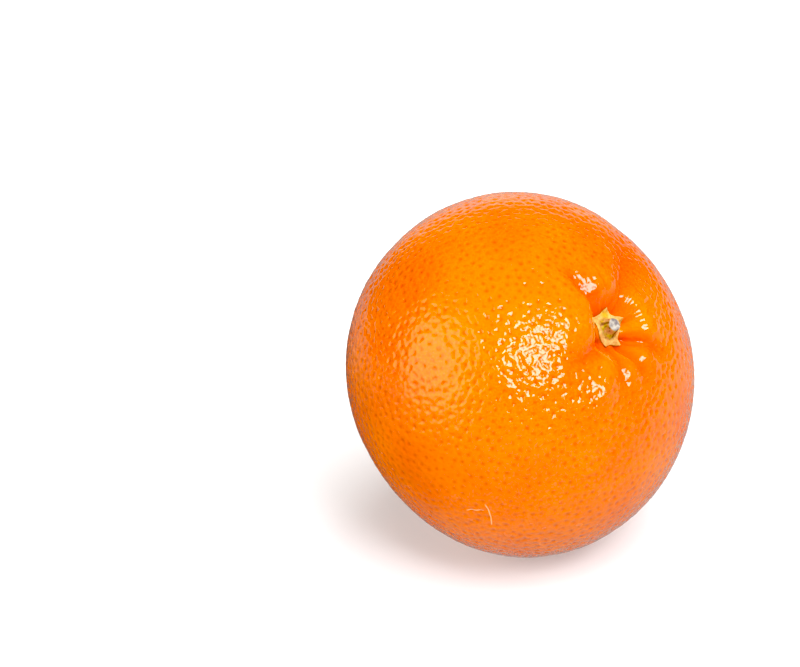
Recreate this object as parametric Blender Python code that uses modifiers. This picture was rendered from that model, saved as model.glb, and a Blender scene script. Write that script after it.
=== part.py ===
"""A mandarin as picked: one peel-covered fruit, its dried calyx and a short cut stem.

The fruit lies tilted on a small flat spot, the way a soft fruit settles, with its stem end up and to one
side. Each piece is shaped in the fruit's own frame (origin at the fruit's centre, +Z out of the stem end)
and hangs from one empty, which tilts the fruit and puts the middle of its rest spot at the world's origin.
"""

import math

import bmesh
import bpy
from mathutils import Vector

# ---------------------------------------------------------------- driving dimensions, in metres and degrees
EQUATOR_RADIUS = 0.0330  # fruit's centre to its widest ring
STEM_POLE = 0.0285  # fruit's centre to the stem pole, before the basin is pressed in
BLOSSOM_POLE = 0.0274  # fruit's centre to the blossom pole, before its dimple
SHOULDER_FULLNESS = 0.022  # how much fuller than an ellipse the profile is on its shoulders

BASIN_DEPTH = 0.0036  # the hollow that the calyx sits in
BASIN_FLOOR = 0.0020  # radius of its level floor
BASIN_RIM = 0.0084  # radius where its wall meets the shoulder
DIMPLE_DEPTH = 0.0010  # the small hollow at the blossom end
DIMPLE_RADIUS = 0.0045

TILT = 52.0  # stem axis away from upright, towards -Y
REST_DEPTH = 0.0008  # how far the peel has flattened where the fruit rests

CALYX_RADIUS = 0.0039  # calyx centre to its longest lobe's tip
CALYX_THICKNESS = 0.0007  # at its middle
CALYX_RIM = 0.0003  # thickness near the edge of its lobes
CALYX_VALLEY = 0.70  # radius between two lobes, as a share of the lobe's own length
CALYX_GAP = 0.0003  # clearance between the peel and the calyx

STEM_RADIUS = 0.0013  # at the cut
STEM_FOOT_RADIUS = 0.0017  # where it meets the calyx
STEM_LENGTH = 0.0016
STEM_BEVEL = 0.0002  # worn edge of the cut
STEM_LEAN = 3.0  # stem away from the fruit's axis
STEM_LEAN_AZIMUTH = 90.0  # direction that it leans in, around the axis
STEM_GAP = 0.0003  # clearance between the calyx and the stem

# Slow unevenness of the equator: (crests around the fruit, height, azimuth of one crest)
SWELLS = (
    (2, 0.00031, 65.0),
    (3, 0.00009, 15.0),
    (4, 0.00019, -29.0),
)

# Creases that run out from the calyx:
# (azimuth at the calyx, azimuth at the far end, length from the axis, depth, width on each side)
FURROWS = (
    (118.0, 103.0, 0.017, 0.0020, 0.0010, 0.0026),
    (77.0, 77.0, 0.013, 0.00035, 0.0008, 0.0008),
    (56.0, 31.0, 0.034, 0.0008, 0.0022, 0.0032),
    (2.0, 2.0, 0.009, 0.0005, 0.0010, 0.0010),
    (-50.0, -40.0, 0.015, 0.0013, 0.0015, 0.0018),
    (-88.0, -82.0, 0.014, 0.0010, 0.0015, 0.0015),
    (-122.0, -114.0, 0.016, 0.0008, 0.0016, 0.0015),
    (-166.0, -171.0, 0.016, 0.0014, 0.0020, 0.0016),
)
FURROW_START = 0.0015  # distance from the axis where the creases begin
FURROW_FULL = 0.0050  # distance from the axis where they have their whole depth
FURROW_FADE = 0.35  # share of a crease's length after which it fades out
FURROW_WIDENING = 0.0090  # distance from the axis where a crease has its stated width

# Plump folds between the creases, and one hollow with a height below zero:
# (azimuth, half width in degrees, height, distance of its crest from the axis, reach on each side)
FOLDS = (
    (152.0, 40.0, 0.0010, 0.0085, 0.0060),
    (80.0, 24.0, 0.0007, 0.0080, 0.0045),
    (21.0, 17.0, 0.0006, 0.0070, 0.0040),
    (-20.0, 17.0, 0.0006, 0.0070, 0.0040),
    (-68.0, 13.0, 0.0005, 0.0075, 0.0040),
    (-103.0, 12.0, 0.0005, 0.0080, 0.0040),
    (-134.0, 9.0, 0.0007, 0.0120, 0.0045),
    (-142.0, 20.0, -0.0007, 0.0056, 0.0026),
)

LOBE_AZIMUTHS = (64.0, 125.0, 233.0, 283.0, 6.0)  # tips of the calyx's five lobes
LOBE_LENGTHS = (1.0, 0.93, 0.93, 0.99, 0.97)  # each as a share of CALYX_RADIUS

# ---------------------------------------------------------------- fineness of the meshes
FRUIT_SEGMENTS = 72
FRUIT_RINGS = 48
RING_CROWDING = 1.2  # above 1, the rings crowd towards the stem end, where the creases are
CALYX_SEGMENTS = 80
CALYX_RINGS = 10
STEM_SEGMENTS = 24
STEM_END_BAND = 0.25  # how far past the equator the stem end's shape fades in, as a share of unit height

# ---------------------------------------------------------------- colours (linear RGB) and roughness
PEEL = ((1.0, 0.21, 0.003), 0.33)
DRY_CALYX = ((0.62, 0.40, 0.09), 0.75)
STEM_BARK = ((0.26, 0.19, 0.06), 0.80)


def smooth_step(value):
    """0 at 0, 1 at 1, and level at both ends."""
    t = min(max(value, 0.0), 1.0)
    return t * t * (3.0 - 2.0 * t)


def soft_ramp(value):
    """Like smooth_step, with even softer ends."""
    t = min(max(value, 0.0), 1.0)
    return t**3 * (t * (6.0 * t - 15.0) + 10.0)


def bell(value):
    """1 at 0 and falling to 0 on both sides."""
    return math.exp(-value * value)


def turn_between(azimuth, degrees):
    """The smallest turn, in radians, from a direction in degrees to an azimuth in radians."""
    return (azimuth - math.radians(degrees) + math.pi) % (2.0 * math.pi) - math.pi


def unit_direction(polar, azimuth):
    """The unit direction at an angle from the stem axis and a turn around it, both in radians."""
    across = math.sin(polar)
    return Vector((across * math.cos(azimuth), across * math.sin(azimuth), math.cos(polar)))


def furrow_depth(azimuth, axis_distance):
    """How deep the creases are at this place, all of them together."""
    depth = 0.0
    for start_turn, end_turn, length, full_depth, left_width, right_width in FURROWS:
        run = min(max((axis_distance - FURROW_FULL) / (length - FURROW_FULL), 0.0), 1.0)
        middle = start_turn + (end_turn - start_turn) * math.sqrt(run)
        aside = turn_between(azimuth, middle) * axis_distance
        width = left_width if aside > 0.0 else right_width
        width *= 0.55 + 0.45 * min(axis_distance / FURROW_WIDENING, 2.0)
        rise = smooth_step((axis_distance - FURROW_START) / (FURROW_FULL - FURROW_START))
        fade = smooth_step((axis_distance - FURROW_FADE * length) / (length - FURROW_FADE * length))
        depth += full_depth * rise * (1.0 - fade) * math.exp(-((abs(aside) / width) ** 1.6))
    return depth


def fold_height(azimuth, axis_distance):
    """How far the folds between the creases stand up at this place."""
    return sum(
        height
        * bell((axis_distance - crest) / reach)
        * bell(turn_between(azimuth, turn) / math.radians(half_width))
        for turn, half_width, height, crest, reach in FOLDS
    )


def peel_distance(direction):
    """Distance from the fruit's centre to the outside of the peel, along a unit direction."""
    across = math.hypot(direction.x, direction.y)
    azimuth = math.atan2(direction.y, direction.x)
    pole = STEM_POLE if direction.z > 0.0 else BLOSSOM_POLE
    distance = 1.0 / math.hypot(across / EQUATOR_RADIUS, direction.z / pole)
    distance *= 1.0 + SHOULDER_FULLNESS * (2.0 * across * direction.z) ** 2
    for crests, height, crest_turn in SWELLS:
        distance += height * across**2 * math.cos(crests * turn_between(azimuth, crest_turn))
    axis_distance = distance * across
    if direction.z < 0.0:
        distance -= DIMPLE_DEPTH * bell(axis_distance / DIMPLE_RADIUS)
    stem_end = smooth_step(direction.z / STEM_END_BAND)
    up_the_wall = soft_ramp((axis_distance - BASIN_FLOOR) / (BASIN_RIM - BASIN_FLOOR))
    distance -= stem_end * BASIN_DEPTH * (1.0 - up_the_wall)
    distance -= stem_end * furrow_depth(azimuth, axis_distance)
    distance += stem_end * fold_height(azimuth, axis_distance)
    return distance


def peel_direction(azimuth, axis_distance):
    """The unit direction to the stem-end peel at this azimuth and distance from the axis."""
    polar = axis_distance / STEM_POLE
    for _ in range(6):
        direction = unit_direction(polar, azimuth)
        polar = math.asin(min(axis_distance / peel_distance(direction), 1.0))
    return direction


def lobe_reach(azimuth):
    """Radius of the calyx's outline at this azimuth: five pointed lobes with rounded valleys."""
    turns = [turn_between(azimuth, tip) for tip in LOBE_AZIMUTHS]
    nearest = min(range(len(turns)), key=lambda i: abs(turns[i]))
    tip = LOBE_AZIMUTHS[nearest]
    step = 1 if turns[nearest] > 0.0 else -1
    neighbour = LOBE_AZIMUTHS[(nearest + step) % len(LOBE_AZIMUTHS)]
    half_gap = abs(turn_between(math.radians(neighbour), tip)) / 2.0
    towards_valley = abs(turns[nearest]) / half_gap
    share = CALYX_VALLEY + (1.0 - CALYX_VALLEY) * (1.0 - towards_valley) ** 1.4
    blend = smooth_step(towards_valley) / 2.0
    lobe = LOBE_LENGTHS[nearest]
    next_lobe = LOBE_LENGTHS[(nearest + step) % len(LOBE_LENGTHS)]
    return CALYX_RADIUS * share * (lobe * (1.0 - blend) + next_lobe * blend)


def material(name, colour_and_roughness):
    """A Principled material with a colour and a roughness; nothing on a fruit is metal."""
    colour, roughness = colour_and_roughness
    made = bpy.data.materials.new(name)
    made.use_nodes = True
    shader = made.node_tree.nodes["Principled BSDF"]
    shader.inputs["Base Color"].default_value = (*colour, 1.0)
    shader.inputs["Roughness"].default_value = roughness
    shader.inputs["Metallic"].default_value = 0.0
    made.diffuse_color = (*colour, 1.0)
    return made


def mesh_object(name, form, collection, surface=None):
    """Turns a bmesh into a smooth-shaded object in the collection."""
    bmesh.ops.recalc_face_normals(form, faces=form.faces)
    mesh = bpy.data.meshes.new(name)
    form.to_mesh(mesh)
    form.free()
    mesh.shade_smooth()
    if surface is not None:
        mesh.materials.append(surface)
    made = bpy.data.objects.new(name, mesh)
    collection.objects.link(made)
    return made


def make_fruit(collection):
    """The whole fruit: a sphere whose rings crowd towards the stem end, moved out to the peel's shape."""
    form = bmesh.new()
    bmesh.ops.create_uvsphere(form, u_segments=FRUIT_SEGMENTS, v_segments=FRUIT_RINGS, radius=1.0)
    for vertex in form.verts:
        even_polar = math.acos(min(max(vertex.co.z, -1.0), 1.0))
        polar = math.pi * (even_polar / math.pi) ** RING_CROWDING
        azimuth = math.atan2(vertex.co.y, vertex.co.x)
        direction = unit_direction(polar, azimuth)
        vertex.co = direction * peel_distance(direction)
    return mesh_object("fruit", form, collection, material("peel", PEEL))


def make_calyx(collection):
    """The dried calyx: a flattened ball with a five-lobed outline, laid over the basin at an even gap."""
    form = bmesh.new()
    bmesh.ops.create_uvsphere(form, u_segments=CALYX_SEGMENTS, v_segments=CALYX_RINGS, radius=1.0)
    for vertex in form.verts:
        side = round(vertex.co.z, 6)
        azimuth = math.atan2(vertex.co.y, vertex.co.x)
        axis_distance = math.hypot(vertex.co.x, vertex.co.y) * lobe_reach(azimuth)
        direction = peel_direction(azimuth, axis_distance)
        if side > 0.0:
            lift = CALYX_RIM + (CALYX_THICKNESS - CALYX_RIM) * side
        elif side < 0.0:
            lift = 0.0
        else:
            lift = CALYX_RIM / 2.0
        vertex.co = direction * (peel_distance(direction) + CALYX_GAP + lift)
    return mesh_object("calyx", form, collection, material("dry_calyx", DRY_CALYX))


def make_stem(collection):
    """The cut stem: a turned stub with a wider foot and a worn edge at the cut, leaning a little."""
    waist = STEM_FOOT_RADIUS - (STEM_FOOT_RADIUS - STEM_RADIUS) * 0.85
    outline = (
        (0.0, STEM_LENGTH),
        (STEM_RADIUS - STEM_BEVEL, STEM_LENGTH),
        (STEM_RADIUS, STEM_LENGTH - STEM_BEVEL),
        (waist, STEM_LENGTH * 0.45),
        (STEM_FOOT_RADIUS, STEM_BEVEL),
        (STEM_FOOT_RADIUS - STEM_BEVEL, 0.0),
        (0.0, 0.0),
    )
    form = bmesh.new()
    points = [form.verts.new((radius, 0.0, height)) for radius, height in outline]
    for upper, lower in zip(points, points[1:]):
        form.edges.new((upper, lower))
    stem = mesh_object("stem", form, collection, material("stem_bark", STEM_BARK))
    turned = stem.modifiers.new("turned", "SCREW")
    turned.axis = "Z"
    turned.steps = STEM_SEGMENTS
    turned.render_steps = STEM_SEGMENTS
    turned.use_merge_vertices = True
    turned.merge_threshold = 0.00001
    lean = math.radians(STEM_LEAN)
    calyx_top = peel_distance(Vector((0.0, 0.0, 1.0))) + CALYX_GAP + CALYX_THICKNESS
    foot_dip = STEM_FOOT_RADIUS * math.sin(lean)
    stem.location = (0.0, 0.0, calyx_top + STEM_GAP + foot_dip)
    # leaning about the level line square to the lean's direction
    stem.rotation_euler = (0.0, lean, math.radians(STEM_LEAN_AZIMUTH))
    return stem


def rest_offset(fruit, tilt):
    """Where the middle of the rest spot is, from the fruit's centre, once the fruit is tilted."""
    tilted = [Vector(vertex.co) for vertex in fruit.data.vertices]
    for point in tilted:
        point.rotate(tilt)
    cut = min(point.z for point in tilted) + REST_DEPTH
    flattened = [point for point in tilted if point.z < cut]
    middle = sum(flattened, Vector()) / len(flattened)
    return Vector((middle.x, middle.y, cut))


def cut_rest_spot(fruit, collection):
    """Flattens the underside at floor level with a block as wide as the fruit."""
    side = 3.0 * EQUATOR_RADIUS
    form = bmesh.new()
    bmesh.ops.create_cube(form, size=side)
    block = mesh_object("floor_block", form, collection)
    block.location = (0.0, 0.0, -side / 2.0)
    block.display_type = "WIRE"
    block.hide_render = True
    flat = fruit.modifiers.new("rest_spot", "BOOLEAN")
    flat.operation = "DIFFERENCE"
    flat.solver = "EXACT"
    flat.object = block


def main():
    for old in list(bpy.data.objects):
        bpy.data.objects.remove(old, do_unlink=True)
    scene = bpy.context.scene
    parts = bpy.data.collections.new("mandarin")
    cutters = bpy.data.collections.new("cutters")
    scene.collection.children.link(parts)
    scene.collection.children.link(cutters)

    fruit = make_fruit(parts)
    calyx = make_calyx(parts)
    stem = make_stem(parts)

    pose = bpy.data.objects.new("tilted_fruit", None)
    parts.objects.link(pose)
    pose.rotation_euler = (math.radians(TILT), 0.0, 0.0)
    pose.location = -rest_offset(fruit, pose.rotation_euler)
    for piece in (fruit, calyx, stem):
        piece.parent = pose
    cut_rest_spot(fruit, cutters)
    bpy.context.view_layer.update()


main()
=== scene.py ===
# %% [markdown]
# # A mandarin on a white table
#
# This lesson dresses a plain solid model of a mandarin until it looks like the fruit in a greengrocer's
# bowl. The solid model is called the frame: it has the right size and place, and nothing here moves it.
# We build a fine peel with its oil glands, a dried calyx and a cut stem around it, light them softly,
# and point a camera at them. Lengths are in millimetres until the moment a mesh is made, because that
# is how a fruit is measured.

# %% Load the frame and note its parts
import math

import bpy
import numpy as np
from mathutils import Matrix, Vector, bvhtree, kdtree, noise


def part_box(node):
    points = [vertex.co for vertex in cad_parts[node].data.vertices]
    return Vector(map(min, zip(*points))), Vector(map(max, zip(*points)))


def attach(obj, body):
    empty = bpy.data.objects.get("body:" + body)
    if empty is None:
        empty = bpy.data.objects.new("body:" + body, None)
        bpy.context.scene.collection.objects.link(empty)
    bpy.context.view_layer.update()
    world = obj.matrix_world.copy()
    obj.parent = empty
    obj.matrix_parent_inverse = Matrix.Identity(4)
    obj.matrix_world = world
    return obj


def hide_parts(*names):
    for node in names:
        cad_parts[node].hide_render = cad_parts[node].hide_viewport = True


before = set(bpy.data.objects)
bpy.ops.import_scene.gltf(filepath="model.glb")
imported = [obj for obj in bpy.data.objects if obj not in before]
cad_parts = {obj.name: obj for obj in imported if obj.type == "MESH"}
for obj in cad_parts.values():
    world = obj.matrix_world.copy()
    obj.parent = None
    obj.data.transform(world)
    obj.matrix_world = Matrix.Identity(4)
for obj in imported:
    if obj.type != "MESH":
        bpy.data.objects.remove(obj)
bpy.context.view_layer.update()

MM = 0.001
print("the frame holds", sorted(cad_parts))

# %% [markdown]
# ## Colours and nodes
#
# Colours are picked from a colour chart, so they are written as sRGB hex values. Blender's
# shaders add up light, so they want linear values, and one function turns the first into the second.
#
# A material is a tree of nodes, and each node has sockets. A socket takes either a value of its own or
# a link from another node, and one function tells the two apart. Another adds a node of any kind. Every
# kind's full name starts with ShaderNode, so we leave that out when we ask for one.

# %% One function for colours and two for nodes
def paint(hex_colour):
    """An sRGB hex colour as linear red, green, blue and alpha."""
    channels = [int(hex_colour[i : i + 2], 16) / 255 for i in (1, 3, 5)]
    linear = [c / 12.92 if c <= 0.04045 else ((c + 0.055) / 1.055) ** 2.4 for c in channels]
    return (*linear, 1.0)


def fill_sockets(tree, node, inputs):
    """Fills a node's sockets. Each is given another node's output, a hex colour or a plain value."""
    for socket, value in inputs.items():
        if isinstance(value, bpy.types.NodeSocket):
            tree.links.new(value, node.inputs[socket])
        else:
            node.inputs[socket].default_value = paint(value) if isinstance(value, str) else value


def add_node(tree, kind, inputs, output=0, **settings):
    """Adds a node with its settings and sockets, and gives the output that is asked for."""
    node = tree.nodes.new("ShaderNode" + kind)
    for name, value in settings.items():
        setattr(node, name, value)
    fill_sockets(tree, node, inputs)
    return node.outputs[output]


def new_material(name):
    """A material with its node tree and its Principled shader, which describes most real surfaces."""
    made = bpy.data.materials.new(name)
    made.use_nodes = True
    return made, made.node_tree, made.node_tree.nodes["Principled BSDF"]


print("fruit orange in linear light:", [round(c, 3) for c in paint("#ff8200")[:3]])

# %% [markdown]
# ## The shape of the fruit
#
# A mandarin is a ball flattened from stem to blossom end. The stem end is pressed into a basin, and the
# loose peel gathers there in creases with plump folds between them, like cloth drawn in by a thread.
# We could sculpt this by hand, but a formula is exact and smooth at any fineness: for each direction
# out of the fruit's centre it gives the distance to the peel. First come the sizes, in the fruit's own
# frame, where +Z points out of the stem end. Azimuths are degrees around that axis.

# %% Sizes of the ball, in millimetres
EQUATOR_RADIUS = 33.0
STEM_POLE = 28.5
BLOSSOM_POLE = 27.4
SHOULDER_FULLNESS = 0.022  # how much fuller than an ellipse the profile is on its shoulders
BASIN_DEPTH, BASIN_FLOOR, BASIN_RIM = 3.6, 2.0, 8.4  # depth, radius of its level floor, radius of its rim
DIMPLE_DEPTH, DIMPLE_RADIUS = 1.0, 4.5
STEM_END_BAND = 0.25  # share of the unit height over which the stem end's shape fades in
print("the fruit is", 2.0 * EQUATOR_RADIUS, "mm wide and", STEM_POLE + BLOSSOM_POLE, "mm from pole to pole")

# %% What makes it uneven
# crests around the equator, height, azimuth of one crest
SWELLS = ((2, 0.31, 65.0), (3, 0.09, 15.0), (4, 0.19, -29.0))

# azimuth at the calyx, azimuth at the far end, length, depth, width on each side
CREASES = (
    (118.0, 103.0, 17.0, 2.0, 1.0, 2.6),
    (77.0, 77.0, 13.0, 0.35, 0.8, 0.8),
    (56.0, 31.0, 34.0, 0.8, 2.2, 3.2),
    (2.0, 2.0, 9.0, 0.5, 1.0, 1.0),
    (-50.0, -40.0, 15.0, 1.3, 1.5, 1.8),
    (-88.0, -82.0, 14.0, 1.0, 1.5, 1.5),
    (-122.0, -114.0, 16.0, 0.8, 1.6, 1.5),
    (-166.0, -171.0, 16.0, 1.4, 2.0, 1.6),
)
CREASE_START, CREASE_FULL = 1.5, 5.0  # distances from the axis where creases begin and are at full depth
CREASE_FADE = 0.35  # share of a crease's length after which it fades out
CREASE_WIDENING = 9.0  # distance from the axis where a crease has its stated width
CREASE_NARROWEST, CREASE_WIDEST = 0.55, 1.45  # its width at the axis and far out, as shares of that width

# azimuth, half width in degrees, height (a hollow where it is negative),
# distance of its crest from the stem axis, reach on each side of the crest
FOLDS = (
    (152.0, 40.0, 1.0, 8.5, 6.0),
    (80.0, 24.0, 0.7, 8.0, 4.5),
    (21.0, 17.0, 0.6, 7.0, 4.0),
    (-20.0, 17.0, 0.6, 7.0, 4.0),
    (-68.0, 13.0, 0.5, 7.5, 4.0),
    (-103.0, 12.0, 0.5, 8.0, 4.0),
    (-136.0, 9.5, 0.95, 11.8, 4.5),
    (-142.0, 20.0, -0.7, 5.6, 2.6),
)
print(len(CREASES), "creases and", len(FOLDS), "folds and hollows meet at the stem")

# %% [markdown]
# The formula is made of a few curves that come back all over this lesson: a ramp from 0 to 1 with soft
# ends, and a bell. They take whole arrays, so all the directions of a fine skin cost one call.

# %% Soft curves
def smooth_step(value):
    """0 below 0, 1 above 1, and a soft ramp between them."""
    t = np.clip(value, 0.0, 1.0)
    return t * t * (3.0 - 2.0 * t)


def soft_ramp(value):
    """Like smooth_step, with ends so soft that a mirror wouldn't show them."""
    t = np.clip(value, 0.0, 1.0)
    return t**3 * (t * (6.0 * t - 15.0) + 10.0)


def bell(value):
    """1 at 0, and nearly 0 from 2 on, to both sides."""
    return np.exp(-value * value)


def turn_between(azimuth, degrees):
    """The shortest turn from an azimuth in degrees to others in radians, in radians."""
    return (azimuth - np.radians(degrees) + np.pi) % (2.0 * np.pi) - np.pi


def around_axis(azimuth, reach, height):
    """Points at these azimuths in radians, distances from the Z axis, and heights."""
    places = np.broadcast_arrays(reach * np.cos(azimuth), reach * np.sin(azimuth), height)
    return np.stack(places, axis=-1)


print("the bell at 0, 1 and 2:", bell(np.array([0.0, 1.0, 2.0])).round(3))


# %% Creases and folds
def crease_depth(azimuth, reach):
    """How deep the creases are at a distance from the stem axis, all of them together."""
    depth = np.zeros_like(reach)
    for start_turn, end_turn, length, full_depth, left_width, right_width in CREASES:
        run = np.clip((reach - CREASE_FULL) / (length - CREASE_FULL), 0.0, 1.0)
        aside = turn_between(azimuth, start_turn + (end_turn - start_turn) * np.sqrt(run)) * reach
        width = np.where(aside > 0.0, left_width, right_width)
        spread = np.minimum(reach / CREASE_WIDENING, 2.0) / 2.0
        width = width * (CREASE_NARROWEST + (CREASE_WIDEST - CREASE_NARROWEST) * spread)
        rise = smooth_step((reach - CREASE_START) / (CREASE_FULL - CREASE_START))
        fade = smooth_step((reach - CREASE_FADE * length) / (length - CREASE_FADE * length))
        depth += full_depth * rise * (1.0 - fade) * np.exp(-((np.abs(aside) / width) ** 1.6))
    return depth


def fold_height(azimuth, reach):
    """How far the folds between the creases stand up."""
    height = np.zeros_like(reach)
    for turn, half_width, full_height, crest, spread in FOLDS:
        beside = turn_between(azimuth, turn) / np.radians(half_width)
        height += full_height * bell((reach - crest) / spread) * bell(beside)
    return height


ring = np.linspace(-np.pi, np.pi, 400)
print("deepest crease 6 mm out: %.2f mm" % crease_depth(ring, np.full(400, 6.0)).max())


# %% The distance from the centre to the peel, for many directions at once
def peel_shape(directions):
    """For unit directions in rows: distance to the peel, distance from the stem axis, and crease depth."""
    across = np.hypot(directions[:, 0], directions[:, 1])
    azimuth = np.arctan2(directions[:, 1], directions[:, 0])
    up = directions[:, 2]
    pole = np.where(up > 0.0, STEM_POLE, BLOSSOM_POLE)
    distance = 1.0 / np.hypot(across / EQUATOR_RADIUS, up / pole)
    distance *= 1.0 + SHOULDER_FULLNESS * (2.0 * across * up) ** 2
    for crests, height, crest_turn in SWELLS:
        distance += height * across**2 * np.cos(crests * turn_between(azimuth, crest_turn))
    reach = distance * across
    distance -= (up < 0.0) * DIMPLE_DEPTH * bell(reach / DIMPLE_RADIUS)
    stem_end = smooth_step(up / STEM_END_BAND)
    basin_wall = soft_ramp((reach - BASIN_FLOOR) / (BASIN_RIM - BASIN_FLOOR))
    distance -= stem_end * BASIN_DEPTH * (1.0 - basin_wall)
    crease = stem_end * crease_depth(azimuth, reach)
    distance += stem_end * fold_height(azimuth, reach) - crease
    return distance, reach, crease


print("centre to stem basin:", peel_shape(np.array([[0.0, 0.0, 1.0]]))[0].round(2), "mm")

# %% [markdown]
# ## An even skin of triangles
#
# The glands in the peel are about 1.2 mm apart all over, so the skin needs triangles of one size. A
# globe with rings and segments crowds them at the poles. A geodesic ball doesn't: it is an icosahedron
# whose twenty faces are each divided into a fine triangular grid and pushed out to the sphere.

# %% The icosahedron
def icosahedron():
    """Twelve corners, two apart from their neighbours, and twenty faces."""
    golden = (1.0 + 5.0**0.5) / 2.0
    corners = []
    for short in (-1.0, 1.0):
        for long in (-golden, golden):
            corners += [(0.0, short, long), (short, long, 0.0), (long, 0.0, short)]
    corners = np.array(corners)
    apart = np.linalg.norm(corners[:, None] - corners[None], axis=2)
    near = np.abs(apart - 2.0) < 0.01
    faces = [
        (i, j, k)
        for i in range(12)
        for j in range(i + 1, 12)
        for k in range(j + 1, 12)
        if near[i, j] and near[j, k] and near[i, k]
    ]
    return corners, np.array(faces)


print("an icosahedron has", len(icosahedron()[1]), "faces")

# %% The geodesic ball
GRID = 150  # divisions of each icosahedron edge, which puts the points 0.27 mm apart on the fruit


def face_grid(divisions):
    """Shares along two edges for each grid point of a face, and the small triangles between them."""
    steps = [(i, j) for i in range(divisions + 1) for j in range(divisions + 1 - i)]
    index = {step: n for n, step in enumerate(steps)}
    small = []
    for i, j in steps:
        if i + j < divisions:
            small.append((index[i, j], index[i + 1, j], index[i, j + 1]))
        if i + j < divisions - 1:
            small.append((index[i + 1, j], index[i + 1, j + 1], index[i, j + 1]))
    return np.array(steps, float) / divisions, np.array(small)


def geodesic_ball(divisions):
    """Unit vectors and triangles of an icosahedron divided into an even grid."""
    corners, faces = icosahedron()
    share, small = face_grid(divisions)
    points, triangles = [], []
    for a, b, c in corners[faces]:
        if np.dot(np.cross(b - a, c - a), a) < 0.0:
            b, c = c, b
        triangles.append(small + len(points) * len(share))
        points.append(a + share[:, :1] * (b - a) + share[:, 1:] * (c - a))
    points = np.concatenate(points)
    points /= np.linalg.norm(points, axis=1, keepdims=True)
    _, first, same = np.unique(points.round(7), axis=0, return_index=True, return_inverse=True)
    return points[first], same.reshape(-1)[np.concatenate(triangles)]


ball, triangles = geodesic_ball(GRID)
print("peel grid:", len(ball), "points and", len(triangles), "triangles")

# %% [markdown]
# ## Where the fruit stands
#
# The frame says where the fruit is. We shape the skin about the fruit's centre, tilt it about the X
# axis, scale it so that it is exactly as wide as the frame's solid, and move it so that the two boxes
# meet.

# %% From the fruit's own frame into the world
TILT = 52.0  # of the stem axis away from upright, towards -Y
fruit_low, fruit_high = (np.array(corner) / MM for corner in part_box("fruit"))
tilt = np.array(Matrix.Rotation(math.radians(TILT), 3, "X"))

distance, reach, crease = peel_shape(ball)
first_skin = (ball * distance[:, None]) @ tilt.T
fit_scale = (fruit_high[0] - fruit_low[0]) / np.ptp(first_skin[:, 0])
first_skin *= fit_scale
centre = np.array([
    fruit_low[0] - first_skin[:, 0].min(),
    (fruit_low[1] + fruit_high[1] - first_skin[:, 1].min() - first_skin[:, 1].max()) / 2.0,
    fruit_high[2] - first_skin[:, 2].max(),
])


def into_world(points):
    """Points of the fruit's own frame, in mm, as world points in mm."""
    return points @ tilt.T * fit_scale + centre


print("fitted by a factor of", round(float(fit_scale), 4), "with its centre at", centre.round(2), "mm")

# %% How well the formula follows the frame
cad_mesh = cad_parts["fruit"].data
cad_tree = bvhtree.BVHTree.FromPolygons(
    [v.co.copy() for v in cad_mesh.vertices], [tuple(p.vertices) for p in cad_mesh.polygons]
)
samples = first_skin[::40] + centre
samples = samples[samples[:, 2] > 1.0]
gaps = [cad_tree.find_nearest(Vector(p) * MM)[3] / MM for p in samples]
print("skin to solid: mean %.3f mm, largest %.3f mm" % (np.mean(gaps), np.max(gaps)))

# %% [markdown]
# ## Oil glands
#
# The dots in a mandarin's peel are oil glands. Each lies just under the surface, where the peel dips
# into a small round pit. There are big ones about 2 mm apart and small ones between them. They never
# overlap but keep no pattern, so we throw darts: visit the skin's points in a random order and keep
# one only if no kept one is near. Around the stem the peel is tight and smooth, with few glands.
#
# Each gland presses a bell-shaped pit into the peel. The same bell is kept as a number on every point,
# called gland, and the peel's colour reads it later: the oil makes each pit a deeper orange.

# %% Sizes of the glands
# closest two of a kind, pit radius, pit depth, how strongly it colours the peel
BIG_GLANDS = (1.40, 0.47, 0.19, 1.0)
SMALL_GLANDS = (0.74, 0.28, 0.08, 0.6)
TIGHT_PEEL, LOOSE_PEEL = 3.5, 13.0  # distances from the stem axis where it is smoothest, and no longer so
SPARSER, FAINTER = 0.6, 0.65  # how much further apart and fainter the glands are on the tightest peel
STRENGTHS = (0.7, 1.2)  # weakest and strongest gland, as shares of the stated depth
PIT_REACH = 2.2  # radii after which a pit's bell has faded away
NO_STEM = 60.0  # stands for the distance from the stem axis on the blossom half
random = np.random.default_rng(7)

skin = ball * distance[:, None]
stem_side = ball[:, 2] > 0.0
from_stem = np.where(stem_side, reach, NO_STEM)
smoothness = 1.0 - smooth_step((from_stem - TIGHT_PEEL) / (LOOSE_PEEL - TIGHT_PEEL))
print("smooth peel on", int((smoothness > 0.5).sum()), "of", len(skin), "points")

# %% A tree that finds near points fast
skin_tree = kdtree.KDTree(len(skin))
for index, point in enumerate(skin):
    skin_tree.insert(point, index)
skin_tree.balance()
print("nearest neighbour at", round(skin_tree.find_n(Vector(skin[0]), 2)[1][2], 3), "mm")

# %% Throw the darts and press the pits
taken = from_stem < TIGHT_PEEL
pit_depth = np.zeros(len(skin))
gland_mark = np.zeros(len(skin))
for spacing, radius, depth, colouring in (BIG_GLANDS, SMALL_GLANDS):
    count = 0
    for index in random.permutation(len(skin)):
        if taken[index]:
            continue
        count += 1
        keep_off = spacing * (1.0 + SPARSER * smoothness[index])
        strength = random.uniform(*STRENGTHS) * (1.0 - FAINTER * smoothness[index])
        for _, near, away in skin_tree.find_range(Vector(skin[index]), PIT_REACH * radius):
            mark = strength * math.exp(-((away / radius) ** 2))
            pit_depth[near] += depth * mark
            gland_mark[near] = max(gland_mark[near], colouring * mark)
        for _, near, _ in skin_tree.find_range(Vector(skin[index]), keep_off):
            taken[near] = True
    print(count, "glands", 2.0 * radius, "mm wide")
    taken = (pit_depth > 0.25 * depth) | (from_stem < TIGHT_PEEL)
print("pits up to %.3f mm deep" % pit_depth.max())

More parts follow.
